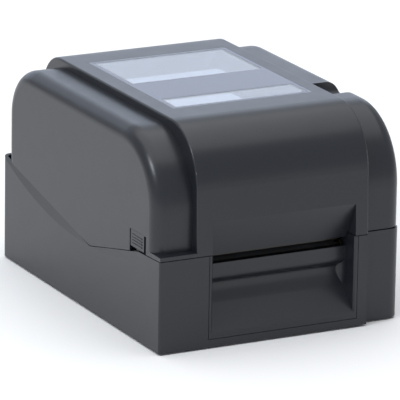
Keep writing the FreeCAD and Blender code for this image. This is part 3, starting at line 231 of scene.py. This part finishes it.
finishes = {
    "case_dark": textured_plastic("case_charcoal", (0.0115, 0.0130, 0.0175),
                                  (0.0135, 0.0153, 0.0205)),
    "frame_plastic": textured_plastic("frame_black", (0.018, 0.019, 0.021),
                                      (0.024, 0.025, 0.028), grain=1100, depth=0.05),
    "panel_gloss": gloss_plastic("panel_gloss", (0.060, 0.066, 0.105),
                                 (0.072, 0.079, 0.122)),
    "window_clear": clear_sheet("window_clear", (0.80, 0.83, 0.90)),
    "lens": clear_sheet("lens_clear", (0.80, 0.92, 0.84)),
    "button_gloss": gloss_plastic("button_satin", (0.05, 0.055, 0.062),
                                  (0.06, 0.065, 0.072), rough=(0.22, 0.3)),
    "guide_plastic": textured_plastic("guide_grey", (0.20, 0.22, 0.26),
                                      (0.24, 0.26, 0.30), grain=1200),
    "gear_plastic": textured_plastic("gear_acetal", (0.62, 0.60, 0.54),
                                     (0.70, 0.68, 0.62), rough=(0.3, 0.4), grain=900),
    "roller_rubber": rubber("roller_rubber", (0.014, 0.014, 0.015), (0.026, 0.026, 0.027)),
    "foot_rubber": rubber("foot_rubber", (0.018, 0.018, 0.019), (0.032, 0.032, 0.033)),
    "steel": metal("steel_turned", (0.46, 0.46, 0.47), (0.60, 0.60, 0.61),
                   stretch=(1, 30, 30)),
    "steel_sheet": metal("steel_zinc", (0.50, 0.51, 0.50), (0.64, 0.65, 0.64),
                         rough=(0.32, 0.48), scale=120),
    "bronze": metal("bronze_sintered", (0.42, 0.27, 0.12), (0.52, 0.36, 0.18),
                    rough=(0.4, 0.55), scale=900),
    "motor_black": metal("motor_black", (0.03, 0.03, 0.033), (0.05, 0.05, 0.054),
                         rough=(0.4, 0.5), scale=300),
    # near-black steel: painted shade, so parts in the paper slot read dark
    "steel_black": metal("steel_dark_painted_shade", (0.020, 0.020, 0.022), (0.034, 0.034, 0.037),
                         rough=(0.4, 0.52), stretch=(1, 20, 20)),
    # near-black heatsink: painted shade, so the paper slot reads dark
    "heatsink": metal("heatsink_painted_shade", (0.022, 0.022, 0.024), (0.036, 0.036, 0.039),
                      rough=(0.35, 0.48), stretch=(0.03, 1, 1)),
    "head_ceramic": ceramic("head_ceramic"),
    "board_green": circuit_board("board_green"),
    "chip_black": textured_plastic("chip_black", (0.012, 0.012, 0.013),
                                   (0.018, 0.018, 0.02), rough=(0.35, 0.45)),
    "socket_metal": metal("socket_tin", (0.55, 0.55, 0.56), (0.68, 0.68, 0.69),
                          rough=(0.2, 0.32), scale=200),
    "jack_plastic": textured_plastic("jack_black", (0.014, 0.014, 0.015),
                                     (0.02, 0.02, 0.022), rough=(0.35, 0.45)),
}

for entry in frame["record"]["subparts"]:
    piece = nodes[entry["node"]]
    for holder in piece.material_slots:
        holder.material = finishes[entry["material_slot"]]


# ---------------------------------------------------------------- trim pieces

def solid_piece(name, build, body, slot_name, bevel=0.0):
    """A mesh from a builder, eased at its edges, riding on a body."""
    shape = bmesh.new()
    build(shape)
    bmesh.ops.recalc_face_normals(shape, faces=shape.faces)
    mesh = bpy.data.meshes.new(name)
    shape.to_mesh(mesh)
    shape.free()
    mesh.materials.append(finishes[slot_name])
    made = bpy.data.objects.new(name, mesh)
    bpy.context.scene.collection.objects.link(made)
    if bevel:
        eased = made.modifiers.new("eased", "BEVEL")
        eased.width = bevel
        eased.segments = 2
        eased.limit_method = "ANGLE"
    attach(made, body)
    return made


def prism(shape, outline, axis, low, high):
    """An outline in the other two axes, drawn out along one axis."""
    across = [i for i in range(3) if i != axis]
    rings = []
    for level in (low, high):
        ring = []
        for first, second in outline:
            spot = [0.0, 0.0, 0.0]
            spot[axis], spot[across[0]], spot[across[1]] = level, first, second
            ring.append(shape.verts.new(spot))
        rings.append(ring)
    count = len(outline)
    shape.faces.new(rings[0])
    shape.faces.new(rings[1])
    for i in range(count):
        shape.faces.new((rings[0][i], rings[0][(i + 1) % count],
                         rings[1][(i + 1) % count], rings[1][i]))


def slab(shape, low, high):
    """A plain block inside a larger comb or grille."""
    prism(shape, [(low[1], low[2]), (high[1], low[2]), (high[1], high[2]),
                  (low[1], high[2])], 0, low[0], high[0])


def grip_ribs(side, tab):
    """Four moulded ribs on a release tab for the fingertip."""
    low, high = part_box(tab)
    face = low.x if side < 0 else high.x
    ribs, inset, pitch = 4, 3.2 * MM, 2.2 * MM
    proud, rooted, chamfer = 0.45 * MM, 0.1 * MM, 0.25 * MM
    bottom = high.z - 10.5 * MM

    def build(shape):
        for step in range(ribs):
            z = bottom + step * pitch
            outline = [(face - side * rooted, z),
                       (face + side * proud, z + chamfer),
                       (face + side * proud, z + MM - chamfer),
                       (face - side * rooted, z + MM)]
            prism(shape, outline, 1, low.y + inset, high.y - inset)
    return build


def pin_row(node, count, spread, level):
    """Contact pins side by side inside a socket in the rear wall."""
    low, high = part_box(node)
    middle_x, z = (low.x + high.x) / 2, low.z + level * MM
    half_thick, tip_inset, root_inset = 0.35 * MM, 3.5 * MM, 10.5 * MM

    def build(shape):
        for step in range(count):
            x = middle_x + (step - (count - 1) / 2) * spread * MM
            slab(shape, (x - half_thick, high.y - root_inset, z - half_thick),
                 (x + half_thick, high.y - tip_inset, z + half_thick))
    return build


def tongue(node, half, height):
    """The plastic tongue that carries a socket's contacts."""
    low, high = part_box(node)
    middle_x, middle_z = (low.x + high.x) / 2, (low.z + high.z) / 2
    tip_inset, root_inset = 2 * MM, 10 * MM

    def build(shape):
        slab(shape, (middle_x - half * MM, high.y - root_inset, middle_z - height * MM),
             (middle_x + half * MM, high.y - tip_inset, middle_z + height * MM))
    return build


def window_white_strip(window, right_end, depth):
    """A white strip with a rounded end, just under a window along its front edge."""
    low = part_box(window)[0]
    left_end, front_edge = low.x + MM, low.y + 0.6 * MM
    back_edge = front_edge + depth * MM
    corner = 4 * MM
    outline = [(left_end, front_edge), (right_end * MM, front_edge)]
    outline += [(right_end * MM - corner + corner * math.cos(a),
                 back_edge - corner + corner * math.sin(a))
                for a in (math.radians(15 * step) for step in range(7))]
    outline.append((left_end, back_edge))

    def build(shape):
        prism(shape, outline, 2, low.z - 0.45 * MM, low.z - 0.05 * MM)
    return build


for side, hand in ((-1, "left"), (1, "right")):
    solid_piece(f"tab_grip_{hand}", grip_ribs(side, f"release_tab_{hand}"),
                f"tab_{hand}", "case_dark")
for name, node, count, spread, level in (
        ("usb_contacts", "usb_port", 2, 2.4, 7.6),
        ("usb_host_contacts", "usb_host_port", 4, 2.0, 2.9),
        ("network_contacts", "network_port", 8, 1.0, 3.2),
        ("serial_contacts_low", "serial_port", 4, 2.77, 5.0),
        ("serial_contacts_high", "serial_port", 5, 2.77, 7.8)):
    solid_piece(name, pin_row(node, count, spread, level), "base", "socket_metal")
for name, node, half, height in (("usb_tongue", "usb_port", 2.6, 1.4),
                                 ("usb_host_tongue", "usb_host_port", 4.6, 0.7)):
    solid_piece(name, tongue(node, half, height), "base", "jack_plastic", 0.15 * MM)
window_strip_white = textured_plastic("window_strip_white", (0.80, 0.82, 0.86), (0.86, 0.88, 0.92))
for name, window, right_end, depth in (("window_white_strip_rear", "rear_window", 26, 15),
                                       ("window_white_strip_front", "front_window", 2, 20)):
    strip = solid_piece(name, window_white_strip(window, right_end, depth), "cover",
                        "gear_plastic")
    strip.data.materials[0] = window_strip_white


# ---------------------------------------------------------------- studio

def curved_sheet(name, corners, material):
    """One smooth strip of quads from pairs of corners."""
    mesh = bpy.data.meshes.new(name)
    count = len(corners) // 2
    faces = [(2 * i, 2 * i + 1, 2 * i + 3, 2 * i + 2) for i in range(count - 1)]
    mesh.from_pydata([Vector(c) for c in corners], [], faces)
    mesh.materials.append(material)
    made = bpy.data.objects.new(name, mesh)
    bpy.context.scene.collection.objects.link(made)
    for face in mesh.polygons:
        face.use_smooth = True
    return made


def studio_paper():
    """Matt white paper."""
    made = Shader("studio_paper")
    made.link(made.ramp(made.noise(3), (0.95, 0.94, 0.93), (0.96, 0.95, 0.94)),
              made.surface.inputs["Base Color"])
    made.set(Roughness=0.9, Specular_IOR_Level=0.1)
    return made.material


def build_sweep():
    """Floor that curves up into the backdrop behind the printer."""
    half, near, turn, radius, height = 12.0, -12.0, 10.0, 2.0, 5.0
    profile = [(near, 0.0), (turn, 0.0)]
    profile += [(turn + radius * math.sin(a), radius * (1 - math.cos(a)))
                for a in (math.radians(9 * step) for step in range(1, 11))]
    profile.append((turn + radius, height))
    corners = [(x, y, z) for y, z in profile for x in (-half, half)]
    return curved_sheet("studio_sweep", corners, studio_paper())


def softbox(name, place, target, size, power, color=(1, 1, 1)):
    """A rectangular area light aimed at a point."""
    data = bpy.data.lights.new(name, "AREA")
    data.shape = "RECTANGLE"
    data.size, data.size_y = size
    data.energy = power
    data.color = color
    lamp = bpy.data.objects.new(name, data)
    lamp.location = place
    aim = Vector(target) - Vector(place)
    lamp.rotation_euler = aim.to_track_quat("-Z", "Y").to_euler()
    bpy.context.scene.collection.objects.link(lamp)


def build_world(level):
    """Even pale surroundings."""
    world = bpy.data.worlds.new("studio_world")
    world.use_nodes = True
    background = next(n for n in world.node_tree.nodes if n.type == "BACKGROUND")
    background.inputs["Color"].default_value = (0.90, 0.94, 1.0, 1)
    background.inputs["Strength"].default_value = level
    bpy.context.scene.world = world


def build_camera():
    """A long lens at the front left, a little above the printer."""
    azimuth, elevation, roll = (math.radians(v) for v in (-27.465, 16.544, 0.981))
    distance, target = 3.5, Vector((-0.0182, -0.0394, 0.0809))
    back = Vector((math.sin(azimuth) * math.cos(elevation),
                   -math.cos(azimuth) * math.cos(elevation), math.sin(elevation)))
    right = (-back).cross(Vector((0, 0, 1))).normalized()
    up = right.cross(-back)
    turned_right = right * math.cos(roll) + up * math.sin(roll)
    turned_up = up * math.cos(roll) - right * math.sin(roll)
    data = bpy.data.cameras.new("camera")
    data.sensor_width = 36
    data.lens = 422.2
    data.clip_start, data.clip_end = 0.05, 50
    camera = bpy.data.objects.new("camera", data)
    camera.matrix_world = Matrix.Translation(target + back * distance) @ Matrix(
        (turned_right, turned_up, back)).transposed().to_4x4()
    bpy.context.scene.collection.objects.link(camera)
    bpy.context.scene.camera = camera


middle = (cad_low + cad_high) / 2
build_sweep()
build_world(0.60)
softbox("key_left", (-1.55, -0.55, 1.45), middle, (0.45, 0.45), 12, (0.9, 0.95, 1.0))
softbox("top_wash", (0, 0.2, 2.4), middle, (3.2, 3.2), 40)
softbox("rear_glow", (0.5, 2.6, 1.0), middle, (3.5, 1.4), 16, (0.68, 0.8, 1.0))
build_camera()
bpy.context.scene.view_settings.view_transform = "Standard"
